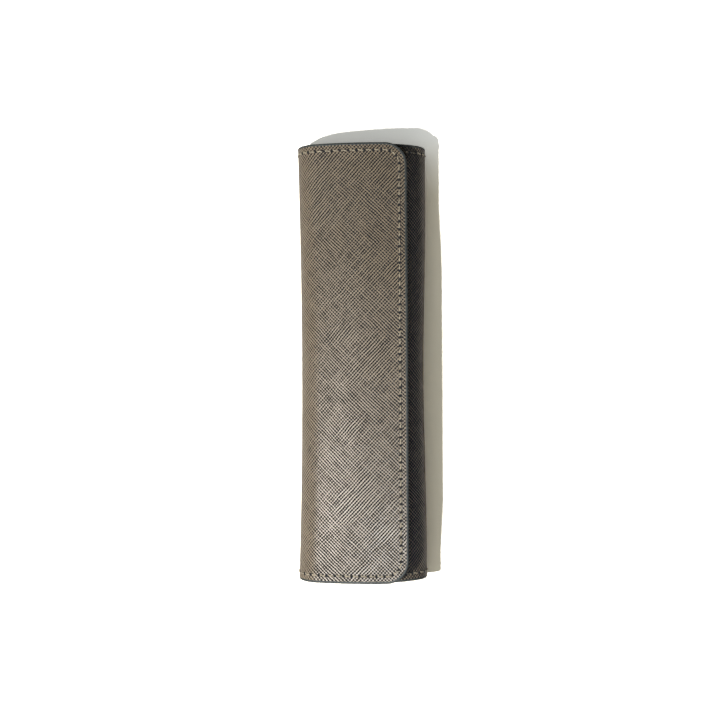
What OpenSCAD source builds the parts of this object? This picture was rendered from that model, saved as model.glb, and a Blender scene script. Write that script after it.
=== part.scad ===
// Leather sleeve for one pen: a formed sheet wraps round the pen and closes with an overlapping flap.
// X runs across the sleeve, Y along it and Z up. The origin is on the resting face, below the middle.
// The section is drawn as a path of arcs and lines in X and Z, with the outside of the sheet on it.

/* [Sleeve] */
// Length of the sleeve, over the painted edges
sleeve_len = 165; // [140:1:200]
// Width of the sleeve, over both folds
sleeve_w = 48.4; // [44:0.2:60]
// Width of the saddle stitched margin, from the painted edge to the seam
seam_margin = 3; // [2.4:0.1:4]

/* [Sheet] */
// Thickness of the cross-grained outer leather
leather_t = 0.8; // [0.7:0.05:1.2]
// Thickness of the stiffening board between leather and lining
board_t = 0.8; // [0.7:0.05:1.2]
// Thickness of the lining leather
lining_t = 0.6; // [0.5:0.05:1]
// Height of the domed edge paint on the raw edge
paint_h = 0.6; // [0.3:0.05:0.8]

/* [Left fold and flap] */
// Outer radius of the lower left fold
low_fold_r = 6.3; // [5:0.1:7]
// Height of the upright strip between the two left folds
side_h = 1.3; // [0.4:0.1:3]
// Outer radius of the upper left fold
high_fold_r = 9.4; // [8:0.1:10]
// Radius of the flap's gentle crown
crown_r = 84.4; // [70:0.2:95]
// Radius of the flap's two rounded corners, which lie in its flat lip
corner_r = 8.5; // [6:0.1:10]
// Width of the flat lip between the crown line and the corners
lip_flat = 2.1; // [0.5:0.1:3]

/* [Right fold and front panel] */
// Outer radius of the shoulder where the front panel turns down
shoulder_r = 24; // [20:1:28]
// Outer radius of the upper right fold
right_fold_r = 9; // [7:0.1:10]
// Distance from the crown line to the middle of the right fold
shoulder_w = 9; // [7:0.1:10]
// Space between the closed flap and the front panel
lay_gap = 0.3; // [0.2:0.05:0.6]
// Distance from the flap's crown line to the front panel's hidden edge
front_reach = 15.2; // [10:0.1:16]
// Space between the parts of the sheet on either side of a fold line
fold_gap = 0.3; // [0.2:0.05:0.5]

/* [Pen tunnel] */
// Width of the space for the pen
pen_d = 12.2; // [9:0.1:12.4]
// Space between the tunnel and the closed front panel
tunnel_gap = 0.4; // [0.3:0.05:1]
// Thickness of the tunnel's leather
tunnel_t = 0.8; // [0.7:0.05:1]
// Length of the tunnel
tunnel_len = 100; // [60:1:110]
// Distance from the middle of the sleeve to the middle of the tunnel
tunnel_shift = 12; // [0:1:15]
// Width of the tunnel's sewn flange, each side
flange_w = 5; // [4:0.1:5.5]

/* [Stitching] */
// Distance from one stitch to the next
stitch_pitch = 3.1; // [2.6:0.1:4]
// Length of one stitch on the surface
stitch_len = 2.4; // [1.6:0.1:2.5]
// Diameter of the thread
thread_d = 0.5; // [0.35:0.05:0.55]
// Space round the thread in its groove
thread_gap = 0.04; // [0.02:0.01:0.08]

/* [Magnets] */
// Diameter of the closing magnets
magnet_d = 8; // [5:0.5:9]
// Distance from one magnet to the next
magnet_step = 52; // [30:1:60]
// Number of magnets in each row
magnet_n = 3; // [1:1:3]
// Space round a magnet in its pocket
magnet_gap = 0.1; // [0.05:0.05:0.2]
// Distance from the flap's crown line to the row of magnets
magnet_back = 3; // [0:0.1:4]

/* [Hidden] */
$fn = 96;

// Colours of the real materials
leather_color = [0.46, 0.42, 0.37];
board_color = [0.72, 0.66, 0.56];
lining_color = [0.30, 0.28, 0.26];
paint_color = [0.33, 0.36, 0.38];
thread_color = [0.78, 0.70, 0.56];
steel_color = [0.70, 0.70, 0.72];

// Depths below the outside of the sheet
board_top = leather_t;
lining_top = leather_t + board_t;
sheet_t = leather_t + board_t + lining_t;

// Half sizes of the cut sheet, inside the painted edge
half_w = sleeve_w / 2;
cut_y = sleeve_len / 2 - paint_h;
thread_r = thread_d / 2;

// Left side of the path: the crown's arc runs on smoothly from the upper left fold
low_fold_c = [-half_w + low_fold_r, low_fold_r];
high_fold_c = [-half_w + high_fold_r, low_fold_r + side_h];
right_fold_x = half_w - right_fold_r;
crown_x = right_fold_x - shoulder_w;
crown_c = [
    crown_x,
    high_fold_c.y - sqrt(pow(crown_r - high_fold_r, 2) - pow(crown_x - high_fold_c.x, 2))
];
crown_start = 90 + asin((crown_x - high_fold_c.x) / (crown_r - high_fold_r));
flap_edge_x = crown_x + lip_flat + corner_r - paint_h;
flap_top = crown_c.y + crown_r;

// Right side of the path: the front panel lies under the crown and meets the right fold smoothly
front_r = crown_r - sheet_t - lay_gap;
shoulder_c = [crown_c.x, crown_c.y + front_r - shoulder_r];
right_fold_c = [
    right_fold_x,
    shoulder_c.y + sqrt(pow(shoulder_r - right_fold_r, 2) - pow(shoulder_w, 2))
];
shoulder_end = acos(shoulder_w / (shoulder_r - right_fold_r));
low_right_r = right_fold_c.y;
low_right_c = [half_w - low_right_r, low_right_r];
front_start = 90 + asin((front_reach - paint_h) / front_r);

// Fold lines are at half of each left fold and at the widest point of the right fold
fold_step = 45;
low_half_gap = asin(fold_gap / 2 / low_fold_r);
high_half_gap = asin(fold_gap / 2 / high_fold_r);
right_half_gap = asin(fold_gap / 2 / right_fold_r);
low_right_half_gap = asin(fold_gap / 2 / low_right_r);

// An arc of the path is its middle, outer radius, first and last angle. Angles fall along the path.
function arc_piece(c, r, from, to) = ["arc", c, r, from, to];

// A straight piece of the path is its first and last point
function line_piece(from, to) = ["line", from, to];

front_path = [
    arc_piece(crown_c, front_r, front_start, 90),
    arc_piece(shoulder_c, shoulder_r, 90, shoulder_end),
    arc_piece(right_fold_c, right_fold_r, shoulder_end, right_half_gap)
];
back_path = [
    arc_piece(low_right_c, low_right_r, -low_right_half_gap, -90),
    line_piece([low_right_c.x, 0], [low_fold_c.x, 0]),
    arc_piece(low_fold_c, low_fold_r, -90, -90 - fold_step + low_half_gap)
];
spine_path = [
    arc_piece(low_fold_c, low_fold_r, -90 - fold_step - low_half_gap, -180),
    line_piece([-half_w, low_fold_c.y], [-half_w, high_fold_c.y]),
    arc_piece(high_fold_c, high_fold_r, 180, 180 - fold_step + high_half_gap)
];
flap_path = [
    arc_piece(high_fold_c, high_fold_r, 180 - fold_step - high_half_gap, crown_start),
    arc_piece(crown_c, crown_r, crown_start, 90),
    line_piece([crown_c.x, flap_top], [flap_edge_x, flap_top])
];

// Length of one piece of a path, and the direction of a straight one
function turn_of(p) = atan2(p[2].y - p[1].y, p[2].x - p[1].x);
function piece_len(p) = p[0] == "arc" ? p[2] * (p[3] - p[4]) * PI / 180 : norm(p[2] - p[1]);

// Place and outward angle at a distance s along a piece
function spot_on(p, s) =
    p[0] == "arc"
        ? let (a = p[3] - s / p[2] * 180 / PI) [p[1] + p[2] * [cos(a), sin(a)], a]
        : [p[1] + s * [cos(turn_of(p)), sin(turn_of(p))], turn_of(p) + 90];

// Stretches a drawing in X and Z along Y, between two places
module along(y_from, y_to) {
    translate([0, y_to, 0])
        rotate([90, 0, 0])
            linear_extrude(y_to - y_from)
                children();
}

// The pieces of a path meet at lines square to it, from inside the sheet to outside it
reach = 1;
function cut_line(spot) =
    let (n = [cos(spot[1]), sin(spot[1])]) [spot[0] - n * (sheet_t + reach), spot[0] + n * reach];
function cut_at(path, i) =
    i < len(path) ? cut_line(spot_on(path[i], 0)) : cut_line(spot_on(path[i - 1], piece_len(path[i - 1])));

// Region of one piece of a path, which shares its end lines with the pieces on either side
module cell(path, i) {
    p = path[i];
    first = cut_at(path, i);
    last = cut_at(path, i + 1);
    bulge = [
        if (p[0] == "arc")
            for (part = [1, 2])
                let (a = p[3] + (p[4] - p[3]) * part / 3)
                    p[1] + 1.2 * (p[2] + reach) * [cos(a), sin(a)]
    ];
    polygon(concat(first, bulge, [last[1], last[0]]));
}

// Layer of the sheet on one piece of a path, between two depths below the outside
module layer_piece(path, i, top, bottom) {
    p = path[i];
    intersection() {
        if (p[0] == "arc")
            translate(p[1])
                difference() {
                    circle(p[2] - top);
                    circle(p[2] - bottom);
                }
        else
            translate(p[1])
                rotate([0, 0, turn_of(p)])
                    translate([-reach, -bottom])
                        square([piece_len(p) + 2 * reach, bottom - top]);
        cell(path, i);
    }
}

// Layer of the sheet on a whole path, over a stretch of its length
module layer(path, top, bottom, y_from = -cut_y, y_to = cut_y) {
    for (i = [0:len(path) - 1])
        along(y_from, y_to)
            layer_piece(path, i, top, bottom);
}

// Straight row of stitches along local Y, evenly spread over a length
module row(length) {
    count = round(length / stitch_pitch);
    step = length / max(count, 1);
    if (count > 0)
        for (i = [0:count - 1])
            translate([0, (i + 0.5) * step - length / 2, 0])
                rotate([90, 0, 0])
                    cylinder(h = step * stitch_len / stitch_pitch, r = thread_r, center = true);
}

// Row of stitches bent round the origin, evenly spread between two angles
module bent_row(r, from, to) {
    count = max(1, round(r * abs(to - from) * PI / 180 / stitch_pitch));
    step = abs(to - from) / count;
    turn = step * stitch_len / stitch_pitch;
    for (i = [0:count - 1])
        rotate([0, 0, min(from, to) + (i + 0.5) * step - turn / 2])
            rotate_extrude(angle = turn)
                translate([r, 0])
                    circle(thread_r);
}

// Stitches across the sleeve at both ends, just below the outside of the sheet
seam_y = sleeve_len / 2 - seam_margin;
module end_rows(path) {
    for (p = path, side = [-1, 1])
        if (p[0] == "arc")
            translate([p[1].x, side * seam_y, p[1].y])
                rotate([90, 0, 0])
                    bent_row(p[2] - thread_depth, p[3], p[4]);
        else {
            middle = (p[1] + p[2]) / 2;
            translate([middle.x, side * seam_y, middle.y])
                rotate([0, -turn_of(p), 0])
                    translate([0, 0, -thread_depth])
                        rotate([0, 0, 90])
                            row(piece_len(p));
        }
}

// Grooves for the thread across both ends
groove_w = thread_d + 2 * thread_gap;
thread_depth = thread_r + thread_gap / 2;
groove_depth = thread_depth + thread_r + thread_gap;
module end_grooves(path) {
    for (side = [-1, 1])
        layer(path, -reach, groove_depth, side * seam_y - groove_w / 2, side * seam_y + groove_w / 2);
}

// Domed section of the edge paint: a low arc over the thickness of the sheet, with its flat side on x = 0
dome_r = (pow(sheet_t / 2, 2) + pow(paint_h, 2)) / (2 * paint_h);
module dome() {
    intersection() {
        translate([paint_h - dome_r, 0])
            circle(dome_r);
        translate([0, -sheet_t])
            square([2 * sheet_t, 2 * sheet_t]);
    }
}

// Edge paint on the raw edge of one piece of a path, at the end towards -Y
module paint_piece(path, i) {
    p = path[i];
    intersection() {
        translate([p[1].x, -cut_y, p[1].y])
            rotate([90, 0, 0])
                if (p[0] == "arc")
                    rotate_extrude()
                        translate([p[2] - sheet_t / 2, 0])
                            rotate([0, 0, 90])
                                dome();
                else
                    rotate([0, 0, turn_of(p)])
                        translate([-reach, -sheet_t / 2, 0])
                            rotate([90, 0, 90])
                                linear_extrude(piece_len(p) + 2 * reach)
                                    rotate([0, 0, 90])
                                        dome();
        along(-cut_y - reach, -cut_y + reach)
            cell(path, i);
    }
}

// Edge paint on both ends of a path
module end_paint(path) {
    for (i = [0:len(path) - 1], side = [0, 1])
        mirror([0, side, 0])
            paint_piece(path, i);
}

// Plan of the flap inside its painted edge, with rounded corners at the free edge
cut_corner_r = corner_r - paint_h;
corner_x = flap_edge_x - cut_corner_r;
corner_y = cut_y - cut_corner_r;
module flap_plan(inset = 0) {
    edge = flap_edge_x - inset;
    y_max = cut_y - inset;
    translate([-sleeve_w, -y_max])
        square([corner_x + sleeve_w, 2 * y_max]);
    translate([-sleeve_w, -corner_y])
        square([edge + sleeve_w, 2 * corner_y]);
    for (side = [-1, 1])
        translate([corner_x, side * corner_y])
            circle(cut_corner_r - inset);
}

// Everything above and below the flap's plan
module over_plan() {
    linear_extrude(2 * sleeve_w, center = true)
        children();
}

module flap_layer(top, bottom) {
    intersection() {
        layer(flap_path, top, bottom);
        over_plan()
            flap_plan();
    }
}

// Groove that follows the flap's outline at the seam margin
seam_inset = seam_margin - paint_h;
module flap_groove() {
    intersection() {
        layer(flap_path, -reach, groove_depth);
        over_plan()
            difference() {
                flap_plan(seam_inset - groove_w / 2);
                flap_plan(seam_inset + groove_w / 2);
            }
    }
}

// Magnets and their pockets: a row of flat discs in the curved board, square to it
magnet_a = 90 + asin(magnet_back / crown_r);
disc_sag = pow(magnet_d, 2) / 8 / (front_r - lining_top);
magnet_t = board_t - 2 * disc_sag;
module magnet_row(mid_r, d, t) {
    for (i = [0:magnet_n - 1])
        translate([crown_c.x, (i - (magnet_n - 1) / 2) * magnet_step, crown_c.y])
            rotate([0, 90 - magnet_a, 0])
                translate([0, 0, mid_r])
                    cylinder(h = t, d = d, center = true);
}

module board_with_pockets(outer_r) {
    difference() {
        children();
        magnet_row(outer_r - board_top - board_t / 2, magnet_d + 2 * magnet_gap, 2 * board_t);
    }
}

// Outer leather, from the path to its own thickness, with the seam grooves along both ends
module leather_piece(path) {
    color(leather_color)
        difference() {
            layer(path, 0, leather_t);
            end_grooves(path);
        }
}

module board_piece(path) {
    color(board_color)
        layer(path, board_top, lining_top);
}

module lining_piece(path) {
    color(lining_color)
        layer(path, lining_top, sheet_t);
}

// Back panel, with the lower halves of both folds
module back_leather() {
    leather_piece(back_path);
}

module back_board() {
    board_piece(back_path);
}

module back_lining() {
    lining_piece(back_path);
}

module back_edge_paint() {
    color(paint_color)
        end_paint(back_path);
}

module back_stitching() {
    color(thread_color)
        end_rows(back_path);
}

// Tunnel that holds the pen: an arch of leather with a sewn flange on each side
pen_r = pen_d / 2;
arch_r = pen_r + tunnel_t;
arch_reach = front_r - sheet_t - tunnel_gap - arch_r;
pen_z = crown_c.y + sqrt(pow(arch_reach, 2) - pow(crown_x, 2));
flange_top = sheet_t + tunnel_t;
tunnel_seam_x = arch_r + flange_w / 2;
module tunnel_section() {
    difference() {
        union() {
            translate([0, pen_z])
                circle(arch_r);
            translate([-arch_r, sheet_t])
                square([2 * arch_r, pen_z - sheet_t]);
            translate([-arch_r - flange_w, sheet_t])
                square([2 * (arch_r + flange_w), tunnel_t]);
        }
        translate([0, pen_z])
            circle(pen_r);
        translate([-pen_r, 0])
            square([pen_d, pen_z]);
        translate([-sleeve_w, sheet_t - sleeve_w])
            square([2 * sleeve_w, sleeve_w]);
    }
}

module tunnel_rows() {
    for (side = [-1, 1])
        translate([side * tunnel_seam_x, -tunnel_shift, 0])
            children();
}

module pen_tunnel() {
    color(lining_color)
        difference() {
            along(-tunnel_shift - tunnel_len / 2, -tunnel_shift + tunnel_len / 2)
                tunnel_section();
            tunnel_rows()
                translate([-groove_w / 2, -tunnel_len, flange_top - groove_depth])
                    cube([groove_w, 2 * tunnel_len, sheet_t]);
        }
}

module tunnel_stitching() {
    color(thread_color)
        tunnel_rows()
            translate([0, 0, flange_top - thread_depth])
                row(tunnel_len);
}

// Strip between the two left folds
module spine_leather() {
    leather_piece(spine_path);
}

module spine_board() {
    board_piece(spine_path);
}

module spine_lining() {
    lining_piece(spine_path);
}

module spine_edge_paint() {
    color(paint_color)
        end_paint(spine_path);
}

module spine_stitching() {
    color(thread_color)
        end_rows(spine_path);
}

// Flap, from the upper left fold to its rounded free edge
module flap_leather() {
    color(leather_color)
        difference() {
            flap_layer(0, leather_t);
            flap_groove();
        }
}

module flap_board() {
    color(board_color)
        board_with_pockets(crown_r)
            flap_layer(board_top, lining_top);
}

module flap_lining() {
    color(lining_color)
        flap_layer(lining_top, sheet_t);
}

// Path of the flap up to where its corners start
flap_end_path = [
    flap_path[0],
    flap_path[1],
    line_piece([crown_c.x, flap_top], [corner_x, flap_top])
];
module flap_edge_paint() {
    color(paint_color) {
        end_paint(flap_end_path);
        translate([0, 0, flap_top - sheet_t / 2]) {
            translate([flap_edge_x, corner_y, 0])
                rotate([90, 0, 0])
                    linear_extrude(2 * corner_y)
                        dome();
            for (side = [0, 1])
                mirror([0, side, 0])
                    translate([corner_x, corner_y, 0])
                        rotate_extrude(angle = 90)
                            translate([cut_corner_r, 0])
                                dome();
        }
    }
}

// Seam along the flap's free edge, between its rounded corners, and round each corner
seam_corner_r = corner_r - seam_margin;
module flap_stitching() {
    color(thread_color) {
        end_rows(flap_end_path);
        translate([corner_x, 0, flap_top - thread_depth]) {
            translate([seam_corner_r, 0, 0])
                row(2 * corner_y);
            translate([0, corner_y, 0])
                bent_row(seam_corner_r, 0, 90);
            translate([0, -corner_y, 0])
                bent_row(seam_corner_r, -90, 0);
        }
    }
}

module flap_magnets() {
    color(steel_color)
        magnet_row(crown_r - board_top - board_t / 2, magnet_d, magnet_t);
}

// Front panel, from its hidden edge under the flap to the right fold
front_edge = spot_on(front_path[0], 0);
front_seam_a = front_start - asin(seam_inset / front_r);
front_seam_path = [arc_piece(crown_c, front_r, front_seam_a, 90), front_path[1], front_path[2]];

// Places a drawing square to the front panel, over the seam along its hidden edge
module at_front_seam() {
    translate([crown_c.x, 0, crown_c.y])
        rotate([0, 90 - front_seam_a, 0])
            translate([0, 0, front_r])
                children();
}

module front_leather() {
    color(leather_color)
        difference() {
            layer(front_path, 0, leather_t);
            end_grooves(front_seam_path);
            at_front_seam()
                translate([-groove_w / 2, -seam_y, -groove_depth])
                    cube([groove_w, 2 * seam_y, 2 * groove_depth]);
        }
}

module front_board() {
    color(board_color)
        board_with_pockets(front_r)
            layer(front_path, board_top, lining_top);
}

module front_lining() {
    lining_piece(front_path);
}

// Paint along both ends, and along the hidden edge up to just short of them
paint_break = 0.05;
module front_edge_paint() {
    edge_mid = front_edge[0] - sheet_t / 2 * [cos(front_edge[1]), sin(front_edge[1])];
    edge_y = cut_y - paint_break;
    color(paint_color) {
        end_paint(front_path);
        translate([edge_mid.x, edge_y, edge_mid.y])
            rotate([0, 90 - front_edge[1], 0])
                rotate([90, 0, 0])
                    linear_extrude(2 * edge_y)
                        rotate([0, 0, 180])
                            dome();
    }
}

module front_stitching() {
    color(thread_color) {
        end_rows(front_seam_path);
        at_front_seam()
            translate([0, 0, -thread_depth])
                row(2 * seam_y - stitch_pitch);
    }
}

module front_magnets() {
    color(steel_color)
        magnet_row(front_r - board_top - board_t / 2, magnet_d, magnet_t);
}

back_leather();
back_board();
back_lining();
back_edge_paint();
back_stitching();
pen_tunnel();
tunnel_stitching();
spine_leather();
spine_board();
spine_lining();
spine_edge_paint();
spine_stitching();
flap_leather();
flap_board();
flap_lining();
flap_edge_paint();
flap_stitching();
flap_magnets();
front_leather();
front_board();
front_lining();
front_edge_paint();
front_stitching();
front_magnets();
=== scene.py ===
# %% [markdown]
# # A leather sleeve for one pen
#
# The real sleeve is one long sheet. It is cut flat, painted round its raw edge, sewn all round,
# and then formed: it starts under the flap, turns down at the right, runs under the pen, comes up
# at the left and ends on top as the flap. The lesson follows the maker. Every layer, the painted
# edge and every stitch are modelled on the flat sheet, and one function then lays them all round
# the same former, so that what fits flat also fits when it is folded.

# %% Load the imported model
import math
import bpy
from mathutils import Matrix, Vector


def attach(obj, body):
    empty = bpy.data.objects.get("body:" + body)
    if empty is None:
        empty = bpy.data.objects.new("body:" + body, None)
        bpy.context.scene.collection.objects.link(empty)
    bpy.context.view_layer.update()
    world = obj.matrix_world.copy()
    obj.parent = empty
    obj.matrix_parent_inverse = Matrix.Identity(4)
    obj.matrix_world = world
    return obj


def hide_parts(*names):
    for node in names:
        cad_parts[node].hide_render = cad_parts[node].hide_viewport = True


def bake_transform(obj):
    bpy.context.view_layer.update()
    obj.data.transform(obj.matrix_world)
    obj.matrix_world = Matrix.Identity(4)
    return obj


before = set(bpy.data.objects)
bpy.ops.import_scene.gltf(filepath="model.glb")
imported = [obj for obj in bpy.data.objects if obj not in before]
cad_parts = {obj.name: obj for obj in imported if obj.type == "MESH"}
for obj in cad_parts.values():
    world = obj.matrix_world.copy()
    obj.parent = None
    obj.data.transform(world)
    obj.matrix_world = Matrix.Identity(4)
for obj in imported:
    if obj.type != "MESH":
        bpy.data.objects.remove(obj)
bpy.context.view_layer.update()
MM = 0.001

# %% [markdown]
# ## The stage
#
# The photograph looks straight down from about 40 cm, on a white table. One small lamp stands at
# the left, so the shadow falls to the right with a crisp edge, and a dim white room fills it in.
# A soft box adds only the leather's sheen, and three white cards light the open ends and the right
# side. To the camera the floor shows white, and warm grey in the shadow; the world shows white.
# The floor's glow for the camera holds painted shade and light: it dims near the sleeve, is darker
# and warmer beside it, and is lighter and neutral beyond its far end.

# %% Floor, world, lamp and camera
def add_node(tree, kind, inputs=None, **settings):
    """Adds one shader node, sets it up and joins its inputs to values or to other sockets."""
    node = tree.nodes.new(kind)
    for name, value in settings.items():
        setattr(node, name, value)
    for name, value in (inputs or {}).items():
        if isinstance(value, bpy.types.NodeSocket):
            tree.links.new(value, node.inputs[name])
        else:
            node.inputs[name].default_value = value
    return node


def remap(tree, value, from_min, from_max, to_min, to_max, **settings):
    """Moves a value from one range to another, and holds it at both ends."""
    return add_node(tree, "ShaderNodeMapRange", {
        "Value": value, "From Min": from_min, "From Max": from_max,
        "To Min": to_min, "To Max": to_max}, **settings).outputs[0]


def maths(tree, operation, *values):
    """One step of arithmetic on numbers or sockets."""
    return add_node(tree, "ShaderNodeMath", dict(enumerate(values)), operation=operation).outputs[0]


def noise(tree, place, scale, detail, roughness=0.5):
    """A noise pattern at a place, from 0 to 1."""
    return add_node(tree, "ShaderNodeTexNoise", {
        "Vector": place, "Scale": scale, "Detail": detail, "Roughness": roughness}).outputs["Fac"]


def linear(hex_colour):
    """Turns an sRGB hex colour into the linear values that a shader takes."""
    parts = [int(hex_colour[i:i + 2], 16) / 255 for i in (1, 3, 5)]
    return [p / 12.92 if p <= 0.04045 else ((p + 0.055) / 1.055) ** 2.4 for p in parts] + [1]


def new_material(name):
    """A material with no nodes yet, and its tree."""
    material = bpy.data.materials.new(name)
    material.use_nodes = True
    material.node_tree.nodes.clear()
    return material, material.node_tree


bpy.ops.object.select_all(action="DESELECT")
bpy.ops.mesh.primitive_plane_add(size=6, location=(0, 0, -0.5 * MM))
floor = bpy.context.object
floor.name = "table_top"

white_paper, tree = new_material("matte white paper")
paper = add_node(tree, "ShaderNodeBsdfDiffuse", {"Color": (0.86, 0.86, 0.86, 1)})
lit = add_node(tree, "ShaderNodeBsdfDiffuse", {"Color": (1.7, 1.66, 1.55, 1)})
place = add_node(tree, "ShaderNodeTexCoord").outputs["Object"]
parts = add_node(tree, "ShaderNodeSeparateXYZ", {0: place})
x, y = parts.outputs["X"], parts.outputs["Y"]
from_middle = add_node(tree, "ShaderNodeVectorMath", {0: place}, operation="LENGTH").outputs["Value"]
# Painted shade and light on the floor: the camera's glow is darker beside the sleeve's right side, lighter
# past its far end, and dims where the sleeve shuts out the room.
painted_shade_beside = remap(tree, x, 0.025, 0.032, 0.32, 0.41)
painted_light_past_end = remap(tree, y, 0.065, 0.088, painted_shade_beside, 0.58)
fill = remap(tree, from_middle, 0.11, 0.6, painted_light_past_end, 1.4)
# Painted shadow colour: warm beside the sleeve, neutral past its far end.
green = remap(tree, y, 0.065, 0.088, 0.935, 1.02)
blue = remap(tree, y, 0.065, 0.088, 0.72, 0.97)
painted_shadow_tint = add_node(tree, "ShaderNodeCombineColor", {"Red": 1.0, "Green": green, "Blue": blue}).outputs[0]
open_sky = add_node(tree, "ShaderNodeAmbientOcclusion", {"Color": painted_shadow_tint, "Distance": 0.08}, samples=16)
painted_floor_glow = add_node(tree, "ShaderNodeEmission", {"Color": open_sky.outputs["Color"], "Strength": fill})
shown = add_node(tree, "ShaderNodeAddShader", {0: lit.outputs[0], 1: painted_floor_glow.outputs[0]})
ray = add_node(tree, "ShaderNodeLightPath").outputs["Is Camera Ray"]
either = add_node(tree, "ShaderNodeMixShader", {0: ray, 1: paper.outputs[0], 2: shown.outputs[0]})
add_node(tree, "ShaderNodeOutputMaterial", {"Surface": either.outputs[0]})
floor.data.materials.append(white_paper)

world = bpy.data.worlds.new("white room")
bpy.context.scene.world = world
world.use_nodes = True
tree = world.node_tree
tree.nodes.clear()
towards = add_node(tree, "ShaderNodeTexCoord").outputs["Generated"]
direction = add_node(tree, "ShaderNodeSeparateXYZ", {0: towards})
walls = remap(tree, direction.outputs["Z"], 0.0, 0.7, 0.013, 0.0025)
leftward = maths(tree, "MULTIPLY", direction.outputs["X"], -1.0)
corner = maths(tree, "MULTIPLY_ADD", direction.outputs["Y"], 0.5, leftward)
window = remap(tree, corner, 0.2, 1.0, 0.8, 10.0)
strength = maths(tree, "MULTIPLY", walls, window)
room = add_node(tree, "ShaderNodeBackground", {"Color": (1, 1, 1, 1), "Strength": strength})
seen = add_node(tree, "ShaderNodeBackground", {"Color": (1, 1, 1, 1), "Strength": 0.97})
ray = add_node(tree, "ShaderNodeLightPath").outputs["Is Camera Ray"]
mix = add_node(tree, "ShaderNodeMixShader", {0: ray, 1: room.outputs[0], 2: seen.outputs[0]})
add_node(tree, "ShaderNodeOutputWorld", {"Surface": mix.outputs[0]})


def area_light(name, place, energy, width, height=None, aim_z=0):
    """An area light, sized and placed in millimetres, that looks at the sleeve: round, or a card."""
    place = Vector(place) * MM
    bpy.ops.object.light_add(type="AREA", location=place)
    light = bpy.context.object
    light.name = name
    light.data.shape = "RECTANGLE" if height else "DISK"
    light.data.size = width * MM
    if height:
        light.data.size_y = height * MM
    light.data.energy = energy
    light.rotation_euler = (Vector((0, 0, aim_z * MM)) - place).to_track_quat("-Z", "Y").to_euler()
    return light


lamp = area_light("small_lamp", (-268, -124, 448), 3.2, 14)
lamp.data.color = (1, 0.985, 0.965)
soft_box = area_light("soft_box", (-30, -210, 420), 3.2, 220)
soft_box.data.color = (0.9, 0.95, 1)
soft_box.visible_diffuse = False
area_light("white_card_near", (0, -330, 70), 0.045, 300, 120, aim_z=10)
area_light("white_card_far", (0, 330, 70), 0.045, 300, 120, aim_z=10)
area_light("white_card_right", (300, 0, 60), 0.04, 300, 120, aim_z=10)

SLEEVE_TOP = 20
EYE_HEIGHT = 400
bpy.ops.object.camera_add(
    location=(-1.15 * MM, 1.2 * MM, (SLEEVE_TOP + EYE_HEIGHT) * MM), rotation=(0, 0, math.radians(-0.3)))
camera = bpy.context.object
camera.data.sensor_width = 36
PIXELS_PER_MM, PICTURE_WIDTH = 2.6845, 720
camera.data.lens = 36 * PIXELS_PER_MM * EYE_HEIGHT / PICTURE_WIDTH
camera.data.clip_start = 0.01
bpy.context.scene.camera = camera
bpy.context.scene.view_settings.view_transform = "Standard"
print("lens", round(camera.data.lens, 2), "mm, lamp at", [round(c, 3) for c in lamp.location])

# %% [markdown]
# ## The former
#
# Seen from the end, the outside of the sheet is a chain of arcs and straight lines. The list below
# follows it from the front panel's hidden edge, over the front, round the right fold, under the
# back, up the left side and over the flap. A place on the flat sheet is its distance u along this
# chain, its place v along the sleeve, and its height above or below the outside of the leather.

# %% The section as a chain of arcs and lines
CHAIN = [
    ("arc", (6.2, -64.4), 81.9, 90 + math.degrees(math.asin(15.2 / 81.9)), 90),
    ("arc", (6.2, -6.5), 24.0, 90, math.degrees(math.acos(9 / 15))),
    ("arc", (15.2, 5.5), 9.0, math.degrees(math.acos(9 / 15)), 0),
    ("arc", (18.7, 5.5), 5.5, 0, -90),
    ("line", (18.7, 0.0), (-17.9, 0.0)),
    ("arc", (-17.9, 6.3), 6.3, -90, -180),
    ("line", (-24.2, 6.3), (-24.2, 7.6)),
    ("arc", (-14.8, 7.6), 9.4, 180, 90 + math.degrees(math.asin(21 / 75))),
    ("arc", (6.2, -64.4), 84.4, 90 + math.degrees(math.asin(21 / 75)), 90),
    ("line", (6.2, 20.0), (16.8, 20.0)),
]


def link_length(link):
    """Length of an arc, from its radius and its two angles, or of a line."""
    if link[0] == "arc":
        return link[2] * math.radians(link[3] - link[4])
    return math.dist(link[1], link[2])


STARTS = [0.0]
for link in CHAIN:
    STARTS.append(STARTS[-1] + link_length(link))
SHEET_U = STARTS[-1]
SHEET_V = 165.0
MIDDLE_OF_BACK = STARTS[4] + 18.7
MIDDLE_OF_SPINE = STARTS[6] + 0.65
print("the flat sheet measures", round(SHEET_U, 2), "by", SHEET_V, "mm")


def on_former(u):
    """Place and outward direction, in X and Z, at a distance u along the chain, in millimetres."""
    i = 0
    while i < len(CHAIN) - 1 and u > STARTS[i + 1]:
        i += 1
    link, along = CHAIN[i], u - STARTS[i]
    if link[0] == "arc":
        (cx, cz), radius = link[1], link[2]
        a = math.radians(link[3]) - along / radius
        return cx + radius * math.cos(a), cz + radius * math.sin(a), math.cos(a), math.sin(a)
    (x0, z0), (x1, z1) = link[1], link[2]
    size = math.dist(link[1], link[2])
    dx, dz = (x1 - x0) / size, (z1 - z0) / size
    return x0 + dx * along, z0 + dz * along, -dz, dx


# %% [markdown]
# Use has changed the shape a little: the sides draw in at the middle of the length and stay wide at
# the two open ends, and the middle of the flap's free edge stands up. The former holds that too, as
# small moves that fade out towards the middle of the width, so every layer and stitch follows.

# %% Forming a flat piece
def fade(t):
    """A smooth step from 0 to 1."""
    t = min(max(t, 0.0), 1.0)
    return t * t * (3 - 2 * t)


FLAP_LIFT = 1.6


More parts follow.
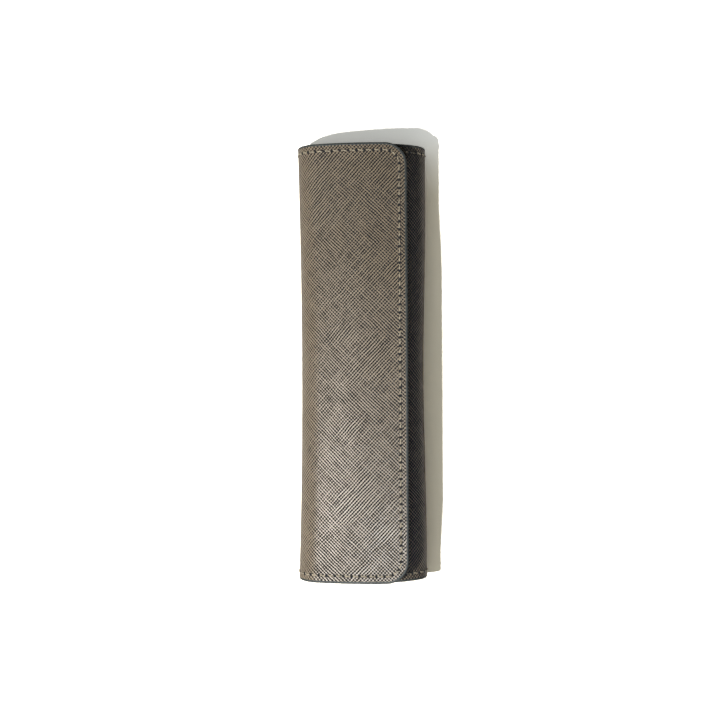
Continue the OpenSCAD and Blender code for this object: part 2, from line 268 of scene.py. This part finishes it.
def settle(x, v, z, u):
    """Moves a formed place by what use has done: a waist at each side, and a flap that has lifted."""
    end = v / 82.5
    shift = fade((-2 - x) / 20) * (0.8 - (1.15 if v > 0 else 1.4) * end * end)
    lift = 0.0
    if u < MIDDLE_OF_BACK:
        shift += fade((x - 2) / 20) * (0.95 * fade(abs(v + 6) / 66) - 0.85)
    elif u > MIDDLE_OF_SPINE:
        lift = FLAP_LIFT * fade((x + 18) / 36) * fade((60 - v) / 35) * fade((80 + v) / 25)
    return x + shift, z + lift


def form(obj):
    """Lays a flat piece round the former and keeps its flat place as a UV map in millimetres."""
    mesh = obj.data
    flat = [v.co.copy() for v in mesh.vertices]
    layer = mesh.uv_layers.get("sheet_mm") or mesh.uv_layers.new(name="sheet_mm")
    for loop in mesh.loops:
        layer.data[loop.index].uv = (flat[loop.vertex_index].x / MM, flat[loop.vertex_index].y / MM)
    for vertex, place in zip(mesh.vertices, flat):
        u, v, up = place.x / MM, place.y / MM, place.z / MM
        x, z, nx, nz = on_former(u)
        x, z = settle(x + nx * up, v, z + nz * up, u)
        vertex.co = (x * MM, v * MM, z * MM)
    mesh.update()


# %% [markdown]
# The sheet bends at three places when the sleeve opens: low on the left, high on the left, and at
# the right. The sheet is made in three parts that meet where it is straight, in the middle of the
# back and in the middle of the left side.

# %% The three parts of the sheet
PARTS = {
    "front_and_back": (0.0, MIDDLE_OF_BACK),
    "lower_left": (MIDDLE_OF_BACK, MIDDLE_OF_SPINE),
    "flap": (MIDDLE_OF_SPINE, SHEET_U),
}


def bend_with(obj):
    """Bakes a formed piece's transform into its mesh."""
    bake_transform(obj)


def part_at(u):
    """The part that holds a place on the flat sheet."""
    return next(name for name, (first, last) in PARTS.items() if u <= last or last == SHEET_U)


def clear_selection():
    """Leaves Edit Mode and selects nothing."""
    if bpy.context.object and bpy.context.object.mode == "EDIT":
        bpy.ops.object.mode_set(mode="OBJECT")
    bpy.ops.object.select_all(action="DESELECT")


def only(obj):
    """Makes obj the one selected and active object."""
    clear_selection()
    obj.select_set(True)
    bpy.context.view_layer.objects.active = obj
    return obj


def pick_vertices(obj, wanted):
    """Leaves obj in Edit Mode with only the vertices selected whose place is wanted."""
    bpy.ops.object.mode_set(mode="EDIT")
    bpy.ops.mesh.select_mode(type="VERT")
    bpy.ops.mesh.select_all(action="DESELECT")
    bpy.ops.object.mode_set(mode="OBJECT")
    for vertex in obj.data.vertices:
        vertex.select = wanted(vertex.co)
    bpy.ops.object.mode_set(mode="EDIT")


def outward_normals():
    """In Edit Mode, selects everything and turns the faces outward."""
    bpy.ops.mesh.select_all(action="SELECT")
    bpy.ops.mesh.normals_make_consistent(inside=False)


def apply_modifier(obj, kind, **settings):
    """Adds one modifier to obj, sets it up and applies it."""
    only(obj)
    modifier = obj.modifiers.new(kind.lower(), kind)
    for name, value in settings.items():
        setattr(modifier, name, value)
    bpy.ops.object.modifier_apply(modifier=modifier.name)


def finish_mesh(obj, material, angle=35):
    """Smooth shading with its sharp corners kept, and the material."""
    only(obj)
    bpy.ops.object.shade_smooth_by_angle(angle=math.radians(angle))
    obj.data.materials.clear()
    obj.data.materials.append(material)


for name, (first, last) in PARTS.items():
    print(name, "is", round(last - first, 2), "mm of the sheet")

# %% [markdown]
# ## Finishes
#
# The outside is saffiano leather: calf leather pressed with a fine cross-hatch and sealed with a
# clear coat, so it has a soft shine. Its colour is darkened into the valleys of the pattern as
# painted shade. Its two sets of lines run at about 45 degrees to the sleeve, 0.9 to 1 mm apart,
# and in patches one set is pressed deeper than the other. The pattern follows the flat sheet's own
# map, so it turns round the folds unbroken. Use rubs it smoother at the folds. The leather that
# the flap covers stays more matt, and its colour is darkened there as painted shade from the flap.

# %% Saffiano leather
def waves(tree, mm, turn, spacing, wobble):
    """One set of pressed lines on the flat sheet: its angle in degrees and its spacing in millimetres."""
    turned = add_node(tree, "ShaderNodeMapping", {
        "Vector": mm, "Rotation": (0, 0, math.radians(turn))}).outputs[0]
    lines = add_node(tree, "ShaderNodeTexWave", {
        "Vector": turned, "Scale": math.pi / (10 * spacing), "Distortion": wobble,
        "Detail": 2.0, "Detail Scale": 0.45, "Detail Roughness": 0.55}).outputs["Fac"]
    drawn_out = add_node(tree, "ShaderNodeMapping", {
        "Vector": turned, "Scale": (1.1 / spacing, 0.14, 1)}).outputs[0]
    streaks = noise(tree, drawn_out, 1.0, 1.0)
    depth = remap(tree, streaks, 0.3, 0.7, 0.6, 1.1)
    return maths(tree, "MULTIPLY", lines, depth)


saffiano, tree = new_material("saffiano leather, cross-hatch pressed and coated")
mm = add_node(tree, "ShaderNodeUVMap", uv_map="sheet_mm").outputs["UV"]
RISING_MM, FALLING_MM = 0.96, 0.93
rising = waves(tree, mm, 43, RISING_MM, 2.6)
falling = waves(tree, mm, -46, FALLING_MM, 2.6)
patches = noise(tree, mm, 0.05, 2.0)
share = remap(tree, patches, 0.36, 0.64, 0.3, 0.7)
hatch = add_node(tree, "ShaderNodeMix", {0: share, 2: rising, 3: falling}).outputs[0]
grit = noise(tree, mm, 1.7, 3.0, 0.65)
pressed = maths(tree, "MULTIPLY_ADD", grit, 0.2, hatch)
across = add_node(tree, "ShaderNodeSeparateXYZ", {0: mm}).outputs["X"]
RIGHT_FOLD, LEFT_FOLD = STARTS[3], STARTS[7]
wear = 0.0
for fold in (RIGHT_FOLD, LEFT_FOLD):
    away = maths(tree, "ABSOLUTE", maths(tree, "SUBTRACT", across, fold))
    rubbed = remap(tree, away, 5.0, 13.0, 0.6, 0.0)
    wear = maths(tree, "MAXIMUM", rubbed, wear)
tone = add_node(tree, "ShaderNodeMix", {0: wear, 2: pressed, 3: 0.58}).outputs[0]
height = remap(tree, tone, 0.25, 0.65, 0.0, 1.0, interpolation_type="SMOOTHSTEP")
# Painted shade: the front panel under the flap is darkened in colour as the flap's shadow; it is also
# rougher, so more matt.
flap_shade_and_matt = remap(tree, across, 31.0, 36.5, 1.0, 0.0)
tone_with_painted_shade = maths(tree, "MULTIPLY_ADD", flap_shade_and_matt, -0.09, tone)
# Painted shade: the ramp turns the colour near black in the low valleys of the pressing.
ramp = add_node(tree, "ShaderNodeValToRGB", {"Fac": tone_with_painted_shade})
ramp.color_ramp.elements[0].position = 0.39
ramp.color_ramp.elements[0].color = linear("#0c0906")
ramp.color_ramp.elements[1].position = 0.67
ramp.color_ramp.elements[1].color = linear("#94856f")
bump = add_node(tree, "ShaderNodeBump", {"Height": height, "Strength": 1.0, "Distance": 0.00014})
shine = maths(tree, "MAXIMUM", remap(tree, tone, 0.38, 0.64, 0.95, 0.4), flap_shade_and_matt)
shader = add_node(tree, "ShaderNodeBsdfPrincipled", {
    "Base Color": ramp.outputs["Color"], "Roughness": shine, "IOR": 1.5, "Normal": bump.outputs[0]})
add_node(tree, "ShaderNodeOutputMaterial", {"Surface": shader.outputs["BSDF"]})
print("lines", RISING_MM, "and", FALLING_MM, "mm apart")
print("rubbed at", round(RIGHT_FOLD), "and", round(LEFT_FOLD), "mm across the sheet")

# %% [markdown]
# The raw edge is sanded, painted blue-grey and burnished in several coats. The paint is thick, a
# little uneven and softly matt. The lining is smooth, matte goat leather. The seam is waxed polyester
# thread. The board between the leathers is bonded leather fibre, and it only shows in a cut. The
# magnets are nickel plated.

# %% Paint, lining, thread and board
def plain_finish(name, dark, light, roughness, scale, depth, use_map=True, metallic=0.0):
    """A finish whose colour and surface follow one noise pattern, with scale spots a millimetre."""
    material, tree = new_material(name)
    if use_map:
        place = add_node(tree, "ShaderNodeUVMap", uv_map="sheet_mm").outputs["UV"]
    else:
        coords = add_node(tree, "ShaderNodeTexCoord").outputs["Object"]
        place = add_node(tree, "ShaderNodeVectorMath", {
            0: coords, "Scale": 1 / MM}, operation="SCALE").outputs[0]
    spots = noise(tree, place, scale, 4.0, 0.6)
    ramp = add_node(tree, "ShaderNodeValToRGB", {"Fac": spots})
    ramp.color_ramp.elements[0].position = 0.3
    ramp.color_ramp.elements[0].color = linear(dark)
    ramp.color_ramp.elements[1].position = 0.7
    ramp.color_ramp.elements[1].color = linear(light)
    bump = add_node(tree, "ShaderNodeBump", {"Height": spots, "Strength": 1.0, "Distance": depth * MM})
    shader = add_node(tree, "ShaderNodeBsdfPrincipled", {
        "Base Color": ramp.outputs["Color"], "Roughness": roughness, "Metallic": metallic,
        "Normal": bump.outputs[0]})
    add_node(tree, "ShaderNodeOutputMaterial", {"Surface": shader.outputs["BSDF"]})
    return material


edge_paint = plain_finish(
    "acrylic edge paint, burnished", "#343937", "#444a47", 0.65, 0.5, 0.03, use_map=False)
lining_leather = plain_finish(
    "goat lining leather, matte", "#3d3833", "#4d4740", 0.7, 1.6, 0.05)
tunnel_leather = plain_finish(
    "goat lining leather, sewn tunnel", "#3d3833", "#4d4740", 0.7, 1.6, 0.05, use_map=False)
fibre_board = plain_finish(
    "bonded leather fibre board", "#a3947b", "#bcae96", 0.85, 2.5, 0.05)
# Painted shade: the needle holes are not cut, so a near black oval stands for the shade in each.
needle_hole_shade = plain_finish(
    "needle hole, painted shade", "#0b0907", "#120f0c", 0.9, 3.0, 0.01)
waxed_thread = plain_finish(
    "waxed polyester thread, twisted", "#9c907a", "#bdb199", 0.6, 3.0, 0.05, use_map=False)
nickel = plain_finish(
    "nickel plated magnet", "#b4b2ac", "#c6c4be", 0.3, 0.8, 0.002, use_map=False, metallic=1.0)
print(len(bpy.data.materials), "materials")

# %% [markdown]
# ## The layers of the sheet
#
# Each layer is a grid at its size and place on the flat sheet, given its thickness with Solidify.
# The flap's free end has two round corners. They are cut with a cutter of that outline, as a maker
# cuts them with a die, and the magnets' pockets in the board are punched the same way.

# %% Cutting the layers
PAINT = 0.6
CORNER = 8.5
CUT_U = SHEET_U - PAINT
CUT_V = SHEET_V / 2 - PAINT


def trim(obj, cutter, operation):
    """Cuts obj with another mesh, and takes the cutter away."""
    apply_modifier(obj, "BOOLEAN", operation=operation, object=cutter, solver="EXACT")
    bpy.data.objects.remove(cutter)


def flap_die():
    """A block with the flap's outline, standing through the flat sheet.

    It is round at all four corners. It begins 5 mm before the flap, so that the two corners at that
    end lie almost wholly beyond it and take under 0.6 mm off the flap's own ends.
    """
    clear_selection()
    first = MIDDLE_OF_SPINE - 5
    bpy.ops.mesh.primitive_plane_add(size=1, location=((first + CUT_U) / 2 * MM, 0, -6 * MM))
    die = bpy.context.object
    die.scale = ((CUT_U - first) * MM, 2 * CUT_V * MM, 1)
    bpy.ops.object.transform_apply(location=True, rotation=False, scale=True)
    bpy.ops.object.mode_set(mode="EDIT")
    bpy.ops.mesh.select_mode(type="VERT")
    bpy.ops.mesh.select_all(action="SELECT")
    bpy.ops.mesh.bevel(offset=(CORNER - PAINT) * MM, segments=16, affect="VERTICES")
    bpy.ops.mesh.select_all(action="SELECT")
    bpy.ops.mesh.extrude_region_move(TRANSFORM_OT_translate={"value": (0, 0, 12 * MM)})
    outward_normals()
    bpy.ops.object.mode_set(mode="OBJECT")
    return die


def cut_layer(name, part, top, bottom):
    """One layer of one part of the sheet, from depth top to depth bottom below the outside, laid flat."""
    first, last = PARTS[part]
    first = max(first, PAINT)
    over = 1.0 if part == "flap" else 0.0
    width, length = last - first, 2 * (CUT_V + over)
    clear_selection()
    bpy.ops.mesh.primitive_grid_add(
        x_subdivisions=round(width / 0.75), y_subdivisions=60, size=1,
        location=((first + last) / 2 * MM, 0, -top * MM))
    layer = bpy.context.object
    layer.name = name
    layer.scale = (width * MM, length * MM, 1)
    bpy.ops.object.transform_apply(location=True, rotation=False, scale=True)
    apply_modifier(layer, "SOLIDIFY", thickness=(bottom - top) * MM, offset=-1)
    if part == "flap":
        trim(layer, flap_die(), "INTERSECT")
    return layer


# The magnets lie three in a row along the sleeve, at these places across the front and the flap.
MAGNET_ROW = (-52, 0, 52)
MAGNETS_U = {"front_and_back": STARTS[1] - 3, "flap": STARTS[9] - 3}
MAGNET_DEPTH = 1.2


def add_disc(u, v, radius, thickness):
    """A round disc at a place on the flat sheet, at the depth of the magnets."""
    clear_selection()
    bpy.ops.mesh.primitive_cylinder_add(
        vertices=32, radius=radius * MM, depth=thickness * MM,
        location=(u * MM, v * MM, -MAGNET_DEPTH * MM))
    return bpy.context.object


# Each layer's name, its top and bottom depth, its material, its slot and the end of its node's name.
LAYERS = [
    ("outer_leather", 0.0, 0.8, saffiano, "saffiano_leather", "leather"),
    ("fibre_board", 0.8, 1.6, fibre_board, "stiffening_board", "board"),
    ("lining", 1.6, 2.2, lining_leather, "lining_leather", "lining"),
]
STANDS_FOR = {"front_and_back": ("front", "back"), "lower_left": ("spine",), "flap": ("flap",)}
for part in PARTS:
    for name, top, bottom, material, slot_name, ending in LAYERS:
        piece = cut_layer(f"{name}_{part}", part, top, bottom)
        if ending == "board" and part in MAGNETS_U:
            for v in MAGNET_ROW:
                trim(piece, add_disc(MAGNETS_U[part], v, 4.1, 6), "DIFFERENCE")
        form(piece)
        finish_mesh(piece, material)
        bend_with(piece)
        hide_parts(*[f"{body}_{ending}" for body in STANDS_FOR[part]])
        print(piece.name, len(piece.data.polygons), "faces")

# %% [markdown]
# ## The painted edge
#
# The paint stands as a rounded bead round the whole raw edge and laps about half a millimetre over
# the leather. Its section is a small plane with rounded corners. It is drawn along the flat edge by
# extruding, and turned round each corner with Spin.

# %% Bead sections and runs
def bead_section(u, v):
    """The bead's section at a place on the long edge at +v, standing across u, as a loop of edges."""
    middle = v + 0.075
    clear_selection()
    bpy.ops.mesh.primitive_plane_add(
        size=1, location=(u * MM, middle * MM, -1.1 * MM), rotation=(0, math.pi / 2, 0))
    bead = bpy.context.object
    bead.scale = (2.3 * MM, 1.05 * MM, 1)
    bpy.ops.object.transform_apply(location=True, rotation=True, scale=True)
    for side, radius, steps in ((1, 0.8, 6), (-1, 0.2, 2)):
        pick_vertices(bead, lambda co: side * (co.y - middle * MM) > 0.52 * MM)
        bpy.ops.mesh.bevel(offset=radius * MM, segments=steps, affect="VERTICES")
        bpy.ops.object.mode_set(mode="OBJECT")
    bpy.ops.object.mode_set(mode="EDIT")
    bpy.ops.mesh.select_all(action="SELECT")
    bpy.ops.mesh.delete(type="ONLY_FACE")
    bpy.ops.mesh.select_all(action="SELECT")
    return bead


def run(du, dv, step=0.8):
    """Draws the selected loop on in a straight line, in short steps so that it can be formed."""
    count = max(1, math.ceil(math.hypot(du, dv) / step))
    step_move = (du / count * MM, dv / count * MM, 0)
    for _ in range(count):
        bpy.ops.mesh.extrude_region_move(TRANSFORM_OT_translate={"value": step_move})


def turn(u, v, degrees, steps):
    """Turns the selected loop clockwise round a corner of the flat sheet, or back for a negative angle."""
    bpy.ops.mesh.spin(
        steps=steps, angle=math.radians(degrees), center=(u * MM, v * MM, 0), axis=(0, 0, 1))


def close_bead(bead, name):
    """Closes the bead's two ends, forms it and gives it its paint."""
    bpy.ops.mesh.select_all(action="SELECT")
    bpy.ops.mesh.remove_doubles(threshold=1e-7)
    bpy.ops.mesh.fill_holes(sides=0)
    outward_normals()
    bpy.ops.object.mode_set(mode="OBJECT")
    bead.name = name
    form(bead)
    finish_mesh(bead, edge_paint, angle=50)
    bend_with(bead)
    print(bead.name, len(bead.data.polygons), "faces")


# %% [markdown]
# The flap's bead starts at the left side, follows one end, turns round the first corner, runs down
# the free edge and comes back along the other end. The front's bead does the same round its hidden
# edge, whose corners are nearly square. Between them lie two short straight beads.

# %% The beads
soft = CORNER - PAINT
flap_bead = bead_section(MIDDLE_OF_SPINE, CUT_V)
run(CUT_U - soft - MIDDLE_OF_SPINE, 0)
turn(CUT_U - soft, CUT_V - soft, 90, 18)
run(0, -2 * (CUT_V - soft), 2.7)
turn(CUT_U - soft, soft - CUT_V, 90, 18)
run(MIDDLE_OF_SPINE - CUT_U + soft, 0)
close_bead(flap_bead, "painted_edge_flap")
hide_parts("flap_edge_paint")

square = 0.5
front_bead = bead_section(MIDDLE_OF_BACK, CUT_V)
run(PAINT + square - MIDDLE_OF_BACK, 0)
turn(PAINT + square, CUT_V - square, -90, 6)
run(0, -2 * (CUT_V - square), 2.7)
turn(PAINT + square, square - CUT_V, -90, 6)
run(MIDDLE_OF_BACK - PAINT - square, 0)
close_bead(front_bead, "painted_edge_front_and_back")
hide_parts("front_edge_paint", "back_edge_paint")

left_bead = bead_section(MIDDLE_OF_BACK, CUT_V)
run(MIDDLE_OF_SPINE - MIDDLE_OF_BACK, 0)
bpy.ops.mesh.select_all(action="SELECT")
bpy.ops.mesh.duplicate()
bpy.ops.transform.mirror(constraint_axis=(False, True, False), center_override=(0, 0, 0))
close_bead(left_bead, "painted_edge_lower_left")
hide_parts("spine_edge_paint")

# %% [markdown]
# ## The seam
#
# A saddle stitch is worked by hand with two needles. Each stitch is about 2.2 mm of twisted thread
# that lies on the leather a little askew, dives into its holes at both ends, and shows on the lining
# too. One stitch is modelled and copied all round, 3 mm inside the sheet's painted edge.

# %% One stitch and one needle hole
def make_stitch():
    """A stitch along X with its middle on the surface: an oval loop drawn along an arch and twisted."""
    half = [(-1.25, -0.42, 0.7), (-1.11, -0.14, 0.9), (-0.88, 0.06, 1.0),
            (-0.6, 0.12, 1.0), (-0.3, 0.15, 1.0)]
    arch = half + [(0.0, 0.16, 1.0)] + [(-x, z, scale) for x, z, scale in reversed(half)]
    start_x, start_z, size = arch[0]
    here = Vector((start_x, 0, start_z)) * MM
    clear_selection()
    bpy.ops.mesh.primitive_circle_add(
        vertices=8, radius=0.27 * MM, location=here, rotation=(0, math.pi / 2, 0))
    stitch = bpy.context.object
    bpy.ops.object.transform_apply(location=True, rotation=True, scale=True)
    bpy.ops.object.mode_set(mode="EDIT")
    bpy.ops.mesh.select_all(action="SELECT")
    bpy.ops.transform.resize(value=(1, 0.74, 1), center_override=here)
    bpy.ops.transform.resize(value=(1, size, size), center_override=here)
    for x, z, scale in arch[1:]:
        there = Vector((x, 0, z)) * MM
        bpy.ops.mesh.extrude_region_move(TRANSFORM_OT_translate={"value": there - here})
        bpy.ops.transform.rotate(value=math.radians(38), orient_axis="X", center_override=there)
        bpy.ops.transform.resize(value=(1, scale / size, scale / size), center_override=there)
        here, size = there, scale
    bpy.ops.mesh.select_all(action="SELECT")
    bpy.ops.mesh.fill_holes(sides=0)
    outward_normals()
    bpy.ops.object.mode_set(mode="OBJECT")
    stitch.name = "one_stitch"
    return stitch


def make_hole_shade():
    """A flat near black oval that lies on the leather at one needle hole: painted shade for the hole."""
    clear_selection()
    bpy.ops.mesh.primitive_circle_add(
        vertices=10, radius=0.66 * MM, fill_type="TRIFAN", location=(0, 0, 0.03 * MM))
    hole = bpy.context.object
    hole.scale = (1.0, 0.9, 1)
    bpy.ops.object.transform_apply(location=True, rotation=True, scale=True)
    hole.name = "one_hole_shade"
    return hole


# %% [markdown]
# The seam's line is a loop on the flat sheet with straight sides and round corners. It is measured
# first, so that a whole number of stitches fits it, and then each stitch gets its place and its
# direction on it.

# %% Places along the seam
PITCH = 3.1
MARGIN = 3.0


def seam_line():
    """The seam's straights and quarter turns, each with its start, heading, length and radius."""
    near, far, edge = MARGIN, SHEET_U - MARGIN, SHEET_V / 2 - MARGIN
    small, big = 1.2, CORNER - MARGIN
    return [
        ((near + small, edge), 0, far - near - small - big, 0),
        ((far - big, edge), 0, big * math.pi / 2, big),
        ((far, edge - big), -90, 2 * (edge - big), 0),
        ((far, big - edge), -90, big * math.pi / 2, big),
        ((far - big, -edge), 180, far - near - small - big, 0),
        ((near + small, -edge), 180, small * math.pi / 2, small),
        ((near, small - edge), 90, 2 * (edge - small), 0),
        ((near, edge - small), 90, small * math.pi / 2, small),
    ]


def seam_places(shift=0.0):
    """Place and direction of each stitch on the flat sheet, moved on by a share of the pitch."""
    line = seam_line()
    total = sum(part[2] for part in line)
    count = round(total / PITCH)
    places = []
    for k in range(count):
        s = (k + shift) * total / count % total
        for (u, v), heading, length, radius in line:
            if s <= length:
                break
            s -= length
        a = math.radians(heading)
        if radius:
            bend = s / radius
            cu, cv = u + radius * math.sin(a), v - radius * math.cos(a)
            a -= bend
            places.append((cu - radius * math.sin(a), cv + radius * math.cos(a), a))
        else:
            places.append((u + s * math.cos(a), v + s * math.sin(a), a))
    return places


def sew(master, name, places, height, skew, flip=False):
    """Copies of the master at these places, joined to one flat piece."""
    copies = []
    for u, v, a in places:
        copy = master.copy()
        copy.data = master.data.copy()
        place = Matrix.Translation((u * MM, v * MM, height * MM))
        place = place @ Matrix.Rotation(a + math.radians(skew), 4, "Z")
        if flip:
            place = place @ Matrix.Rotation(math.pi, 4, "X")
        copy.data.transform(place)
        bpy.context.scene.collection.objects.link(copy)
        copies.append(copy)
    clear_selection()
    for copy in copies:
        copy.select_set(True)
    bpy.context.view_layer.objects.active = copies[0]
    bpy.ops.object.join()
    bpy.context.object.name = name
    return bpy.context.object


stitch = make_stitch()
hole = make_hole_shade()
for part in PARTS:
    here = [p for p in seam_places() if part_at(p[0]) == part]
    gaps = [p for p in seam_places(0.5) if part_at(p[0]) == part]
    outside = sew(stitch, f"seam_thread_{part}", here, 0.0, -7)
    inside = sew(stitch, f"seam_thread_inside_{part}", here, -2.2, 7, flip=True)
    # Painted shade at each needle hole, between the stitches.
    hole_shade_marks = sew(hole, f"painted_hole_shades_{part}", gaps, 0.0, -7)
    for piece, material, slot_name in (
            (outside, waxed_thread, "thread"),
            (inside, waxed_thread, "thread"),
            (hole_shade_marks, needle_hole_shade, "saffiano_leather")):
        form(piece)
        finish_mesh(piece, material, angle=70)
        bend_with(piece)
    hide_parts(*[f"{body}_stitching" for body in STANDS_FOR[part]])
    print(part, len(here), "stitches")

# %% [markdown]
# ## The pen tunnel
#
# Inside, an arch of lining leather is sewn down along both sides and holds the pen. Its section is
# drawn with extrudes and spins from one long edge: out along the flange, up, over the pen and down
# again. It stays on the back panel, so it simply rides on it.

# %% The arch and its two seams
TUNNEL_FROM, TUNNEL_TO = -62.0, 38.0
TUNNEL_LENGTH = TUNNEL_TO - TUNNEL_FROM
ARCH, PEN_Z, FLANGE_Z = 6.9, 7.734, 3.0
FLANGE, FILLET = 5.0, 1.2


def draw_on(x, z):
    """Extrudes the selected edge sideways and up, in millimetres."""
    bpy.ops.mesh.extrude_region_move(TRANSFORM_OT_translate={"value": (x * MM, 0, z * MM)})


def turn_up(x, z, degrees, steps):
    """Spins the selected edge round a line along the sleeve."""
    bpy.ops.mesh.spin(
        steps=steps, angle=math.radians(degrees), center=(x * MM, 0, z * MM), axis=(0, 1, 0))


clear_selection()
bpy.ops.mesh.primitive_grid_add(x_subdivisions=1, y_subdivisions=20, size=1)
tunnel = bpy.context.object
tunnel.scale = (2 * MM, TUNNEL_LENGTH * MM, 1)
tunnel.location = ((1 - ARCH - FLANGE) * MM, (TUNNEL_FROM + TUNNEL_TO) / 2 * MM, FLANGE_Z * MM)
bpy.ops.object.transform_apply(location=True, rotation=False, scale=True)
pick_vertices(tunnel, lambda co: co.x > (-ARCH - 4.0) * MM)
rise = PEN_Z - FLANGE_Z - FILLET
draw_on(FLANGE - 2 - FILLET, 0)
turn_up(-ARCH - FILLET, FLANGE_Z + FILLET, 90, 6)
draw_on(0, rise)
turn_up(0, PEN_Z, -180, 24)
draw_on(0, -rise)
turn_up(ARCH + FILLET, FLANGE_Z + FILLET, 90, 6)
draw_on(FLANGE - FILLET, 0)
outward_normals()
bpy.ops.object.mode_set(mode="OBJECT")
top_face = max(tunnel.data.polygons, key=lambda f: f.center.z)
if top_face.normal.z < 0:
    tunnel.data.flip_normals()
apply_modifier(tunnel, "SOLIDIFY", thickness=0.8 * MM, offset=-1)
tunnel.name = "sewn_pen_tunnel"
finish_mesh(tunnel, tunnel_leather)
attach(tunnel, "back")
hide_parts("pen_tunnel")
low = [round(c / MM, 2) for c in tunnel.bound_box[0]]
high = [round(c / MM, 2) for c in tunnel.bound_box[6]]
print("tunnel from", low, "to", high)

rows = []
count = round(TUNNEL_LENGTH / PITCH)
for side in (-1, 1):
    for k in range(count):
        v = TUNNEL_FROM + (k + 0.5) * TUNNEL_LENGTH / count
        rows.append((side * (ARCH + 2.5), v, math.pi / 2))
tunnel_seam = sew(stitch, "tunnel_thread", rows, FLANGE_Z, -7)
finish_mesh(tunnel_seam, waxed_thread, angle=70)
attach(tunnel_seam, "back")
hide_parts("tunnel_stitching")
for spare in (stitch, hole):
    bpy.data.objects.remove(spare)

# %% [markdown]
# ## The magnets
#
# The closing magnets sit in the boards' pockets, between the leathers. Each is a disc with its rim
# rounded by a bevel. They are made flat and formed with the sheet, so they stay in their pockets.

# %% Magnets
for part, body in (("front_and_back", "front"), ("flap", "flap")):
    discs = []
    for v in MAGNET_ROW:
        disc = add_disc(MAGNETS_U[part], v, 4, 0.7)
        bpy.ops.object.transform_apply(location=True, rotation=True, scale=True)
        apply_modifier(disc, "BEVEL", width=0.12 * MM, segments=2)
        discs.append(disc)
    for disc in discs:
        disc.select_set(True)
    bpy.ops.object.join()
    magnets = bpy.context.object
    magnets.name = f"closing_magnets_{body}"
    form(magnets)
    finish_mesh(magnets, nickel)
    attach(magnets, body)
    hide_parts(f"{body}_magnets")
    print(magnets.name, len(magnets.data.polygons), "faces")
